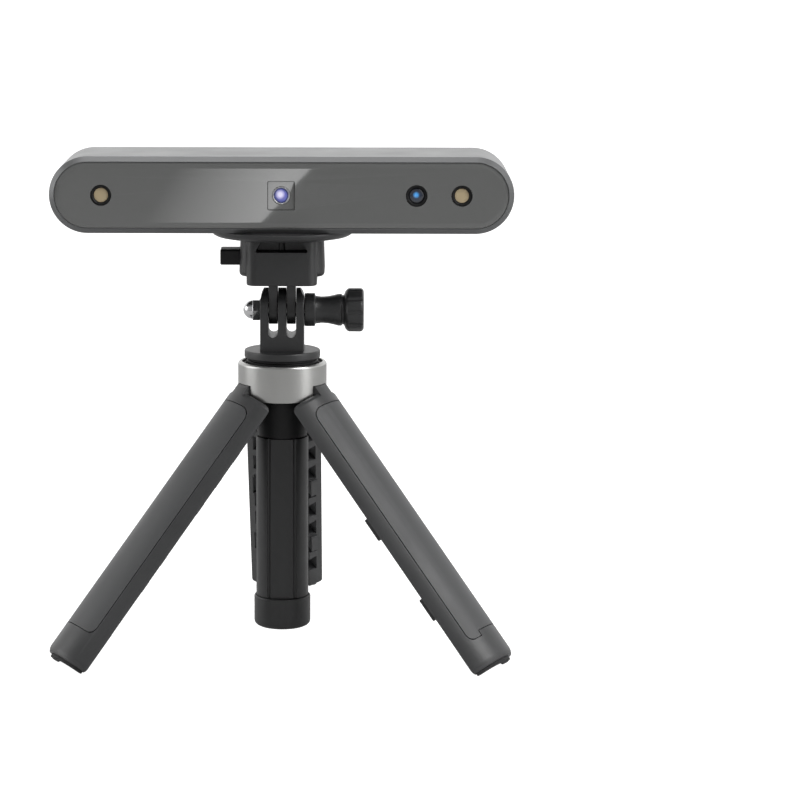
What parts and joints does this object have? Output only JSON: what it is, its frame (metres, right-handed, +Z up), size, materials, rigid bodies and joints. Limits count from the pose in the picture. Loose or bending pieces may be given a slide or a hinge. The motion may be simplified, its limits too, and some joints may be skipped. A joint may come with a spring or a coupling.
{
  "type": "handheld scanner",
  "caption": "Slim bar-shaped 3-D scanner head on a tilting quick-release clamp, with a folding three-leg grip that opens into a table tripod.",
  "frame": {"origin": "middle of the bounding box floor, on the plane the three feet stand on", "axes": "+Z up, -Y the way the lenses look, +X towards the thumb-screw (the right side seen from the front)"},
  "size_m": [0.155, 0.1382, 0.1685],
  "materials": {
    "shell": "fine bead-blasted grey anodise",
    "panel": "glossy infrared-passing dark grey",
    "cover": "fine matt texture",
    "polymer": "glass-filled nylon, fine texture",
    "dark": "black moulded",
    "grip": "soft-touch grey coating",
    "rubber": "matt rubber",
    "steel": "satin",
    "chrome": "polished",
    "collar": "turned, brushed around",
    "brass": "turned",
    "board": "solder mask",
    "window": "cream infrared window",
    "lens": "coated lens",
    "light": "light pipe"
  },
  "bodies": {
    "core": {"collar": "collar", "leg_hub": "dark", "column_tube": "polymer", "column_cap": "polymer", "leg_pin_left": "steel", "leg_pin_right": "steel", "leg_pin_back": "steel"},
    "leg_left": {"leg_frame_left": "polymer", "leg_grip_left": "grip", "leg_sole_left": "rubber"},
    "leg_right": {"leg_frame_right": "polymer", "leg_grip_right": "grip", "leg_sole_right": "rubber"},
    "leg_back": {"leg_frame_back": "polymer", "leg_grip_back": "grip", "leg_sole_back": "rubber"},
    "pole_lower": {"pole_stage_lower": "steel"},
    "pole_upper": {"pole_stage_upper": "steel", "pole_head": "dark", "pan_washer": "rubber", "top_stud": "steel"},
    "clevis": {"clevis_base": "polymer", "cap_nut": "chrome"},
    "thumb_screw": {"tilt_bolt": "steel", "tilt_knob": "polymer"},
    "clamp": {"clamp_body": "polymer"},
    "release": {"release_button": "dark", "release_spring": "steel"},
    "head": {"head_shell": "shell", "front_panel": "panel", "rear_cover": "cover", "rear_screw_1": "steel", "rear_screw_2": "steel", "rear_screw_3": "steel", "rear_screw_4": "steel", "ir_ring_left": "dark", "ir_ring_right": "dark", "ir_window_left": "window", "ir_window_right": "window", "ir_camera_left": "dark", "ir_camera_right": "dark", "rgb_ring": "dark", "rgb_lens": "lens", "rgb_camera": "dark", "projector_bezel": "panel", "projector_ring": "steel", "projector_lens": "lens", "projector": "dark", "projector_heat_sink": "steel", "optical_frame": "steel", "main_board": "board", "usb_c_port": "steel", "status_light": "light", "tripod_insert": "brass", "mount_plate": "polymer", "plate_pad": "rubber", "plate_screw": "steel"},
    "power_key": {"power_button": "cover"}
  },
  "joints": [
    {"name": "leg_left_fold", "type": "hinge", "parent": "core", "child": "leg_left", "pos_m": [-0.00823, -0.02227, 0.0888], "axis": [-0.5, 0.866, 0], "range_deg": [-40.3, 0]},
    {"name": "leg_right_fold", "type": "hinge", "parent": "core", "child": "leg_right", "pos_m": [0.00823, -0.02227, 0.0888], "axis": [-0.5, -0.866, 0], "range_deg": [-40.3, 0]},
    {"name": "leg_back_fold", "type": "hinge", "parent": "core", "child": "leg_back", "pos_m": [0, -0.00802, 0.0888], "axis": [1, 0, 0], "range_deg": [-40.3, 0]},
    {"name": "pole_lower_slide", "type": "slide", "parent": "core", "child": "pole_lower", "axis": [0, 0, 1], "range_m": [0, 0.045]},
    {"name": "pole_upper_slide", "type": "slide", "parent": "pole_lower", "child": "pole_upper", "axis": [0, 0, 1], "range_m": [0, 0.045]},
    {"name": "pan", "type": "hinge", "parent": "pole_upper", "child": "clevis", "pos_m": [0, -0.01752, 0.0983], "axis": [0, 0, 1], "continuous": true},
    {"name": "tilt", "type": "hinge", "parent": "clevis", "child": "clamp", "pos_m": [0, -0.01752, 0.1149], "axis": [1, 0, 0], "range_deg": [-70, 70]},
    {"name": "thumb_screw_turn", "type": "hinge", "parent": "clevis", "child": "thumb_screw", "pos_m": [0.014, -0.01752, 0.1149], "axis": [1, 0, 0], "continuous": true},
    {"name": "release_press", "type": "slide", "parent": "clamp", "child": "release", "axis": [1, 0, 0], "range_m": [0, 0.002], "stiffness_N_per_m": 600},
    {"name": "head_slide", "type": "slide", "parent": "clamp", "child": "head", "axis": [0, -1, 0], "range_m": [0, 0.02]},
    {"name": "power_press", "type": "slide", "parent": "head", "child": "power_key", "axis": [0, -1, 0], "range_m": [0, 0.0006], "stiffness_N_per_m": 1200}
  ]
}
